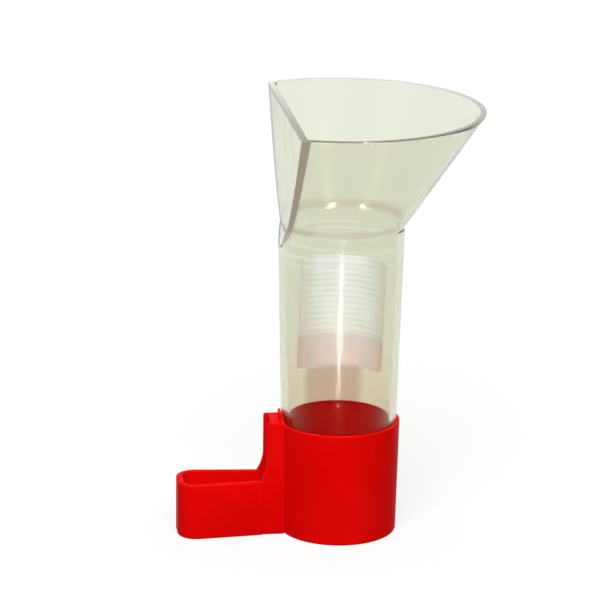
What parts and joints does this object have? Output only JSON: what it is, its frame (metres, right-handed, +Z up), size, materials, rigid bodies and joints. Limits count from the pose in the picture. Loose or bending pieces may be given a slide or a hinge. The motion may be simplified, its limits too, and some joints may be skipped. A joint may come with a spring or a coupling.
{
  "type": "cage bird feeder",
  "caption": "Seed feeder for a bird cage: a clear tube with a flat-backed filling funnel lifts out of a red cup base with a narrow neck and an open trough.",
  "frame": {"origin": "on the tube's axis, in the plane of the base's foot", "axes": "+Z up along the tube, -X along the trough towards the cage, Y across"},
  "size_m": [0.0966, 0.0894, 0.138],
  "materials": {
    "clear_plastic": "clear moulded polystyrene, polished",
    "red_plastic": "moulded, soft gloss",
    "label_paper": "blank label paper"
  },
  "bodies": {
    "base": {"base": "red_plastic"},
    "hopper": {"hopper": "clear_plastic", "label": "label_paper"}
  },
  "joints": [
    {"name": "hopper_lift", "type": "slide", "parent": "base", "child": "hopper", "axis": [0, 0, 1], "range_m": [0, 0.04]}
  ]
}
